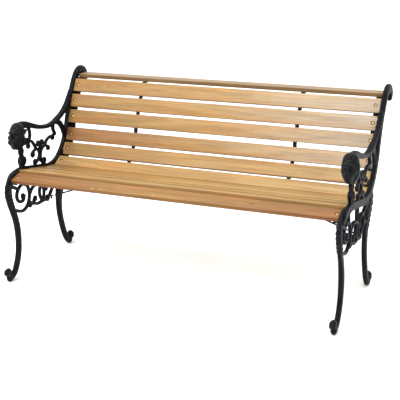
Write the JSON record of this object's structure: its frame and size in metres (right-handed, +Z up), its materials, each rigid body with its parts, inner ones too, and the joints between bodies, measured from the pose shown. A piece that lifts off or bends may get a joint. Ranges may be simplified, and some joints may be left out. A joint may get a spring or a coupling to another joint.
{
  "type": "garden bench",
  "caption": "Garden bench with scrolled black cast-iron ends, lion-head arms and bolted hardwood slats over the seat and back.",
  "frame": {"origin": "on the ground, under the middle of the bench's bounding box", "axes": "+X along the bench to the sitter's left, +Y towards the back, +Z up"},
  "size_m": [1.316, 0.6822, 0.6936],
  "materials": {
    "cast_iron": "semi-gloss black paint over sand-cast iron, faint pitting and soft cast edges",
    "painted_steel": "black painted flat and round steel, with blackened bolts",
    "slat_wood": "clear satin oil on straight-grained honey-coloured hardwood",
    "bolt_brass": "dulled brass plating"
  },
  "bodies": {
    "root": {"end_casting_left": "cast_iron", "support_strap_left": "painted_steel", "stay_left": "painted_steel", "stay_bolt_outer_left": "painted_steel", "stay_bolt_inner_left": "painted_steel", "end_casting_right": "cast_iron", "support_strap_right": "painted_steel", "stay_right": "painted_steel", "stay_bolt_outer_right": "painted_steel", "stay_bolt_inner_right": "painted_steel", "nosing_slat": "slat_wood", "nosing_slat_bolt_left": "bolt_brass", "nosing_slat_bolt_right": "bolt_brass", "seat_slat_1": "slat_wood", "seat_slat_1_bolt_left": "bolt_brass", "seat_slat_1_bolt_right": "bolt_brass", "seat_slat_2": "slat_wood", "seat_slat_2_bolt_left": "bolt_brass", "seat_slat_2_bolt_right": "bolt_brass", "seat_slat_3": "slat_wood", "seat_slat_3_bolt_left": "bolt_brass", "seat_slat_3_bolt_right": "bolt_brass", "seat_slat_4": "slat_wood", "seat_slat_4_bolt_left": "bolt_brass", "seat_slat_4_bolt_right": "bolt_brass", "seat_slat_5": "slat_wood", "seat_slat_5_bolt_left": "bolt_brass", "seat_slat_5_bolt_right": "bolt_brass", "back_slat_1": "slat_wood", "back_slat_1_bolt_left": "bolt_brass", "back_slat_1_bolt_right": "bolt_brass", "back_slat_2": "slat_wood", "back_slat_2_bolt_left": "bolt_brass", "back_slat_2_bolt_right": "bolt_brass", "back_slat_3": "slat_wood", "back_slat_3_bolt_left": "bolt_brass", "back_slat_3_bolt_right": "bolt_brass", "back_slat_4": "slat_wood", "back_slat_4_bolt_left": "bolt_brass", "back_slat_4_bolt_right": "bolt_brass", "back_slat_5": "slat_wood", "back_slat_5_bolt_left": "bolt_brass", "back_slat_5_bolt_right": "bolt_brass", "top_slat": "slat_wood", "top_slat_bolt_left": "bolt_brass", "top_slat_bolt_right": "bolt_brass"}
  },
  "joints": []
}
